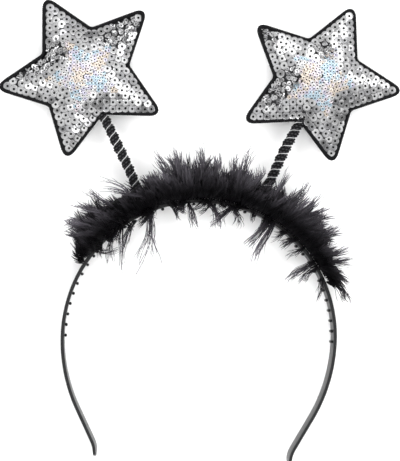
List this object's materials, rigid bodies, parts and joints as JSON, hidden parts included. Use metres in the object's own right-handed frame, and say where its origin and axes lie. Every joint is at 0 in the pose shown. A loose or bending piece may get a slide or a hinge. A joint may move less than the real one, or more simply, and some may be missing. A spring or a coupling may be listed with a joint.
{
  "type": "star headband",
  "caption": "Plastic headband with grip teeth, a black feather trim over its crown and cord-wound spring stalks that carry padded sequin stars; it lies on its side.",
  "frame": {"origin": "bottom centre of the bounding box, on the surface that the headband lies on", "axes": "+X to the right as seen from the front, +Y from the band's tips towards the stars, +Z out of the headband's front, up from the surface"},
  "size_m": [0.1902, 0.2193, 0.0241],
  "materials": {
    "band_plastic": "satin black moulded plastic",
    "feather": "dyed black marabou down",
    "stalk_cord": "black cord wound over a spring, with a silver thread between turns",
    "sequin_cloth": "silver sequins sewn on black cloth, stuffed",
    "edging_thread": "black overlock thread"
  },
  "bodies": {
    "root": {"band": "band_plastic", "feather_trim": "feather", "stalk_left": "stalk_cord", "stalk_right": "stalk_cord", "star_pad_left": "sequin_cloth", "star_pad_right": "sequin_cloth", "star_edging_left": "edging_thread", "star_edging_right": "edging_thread"}
  },
  "joints": []
}
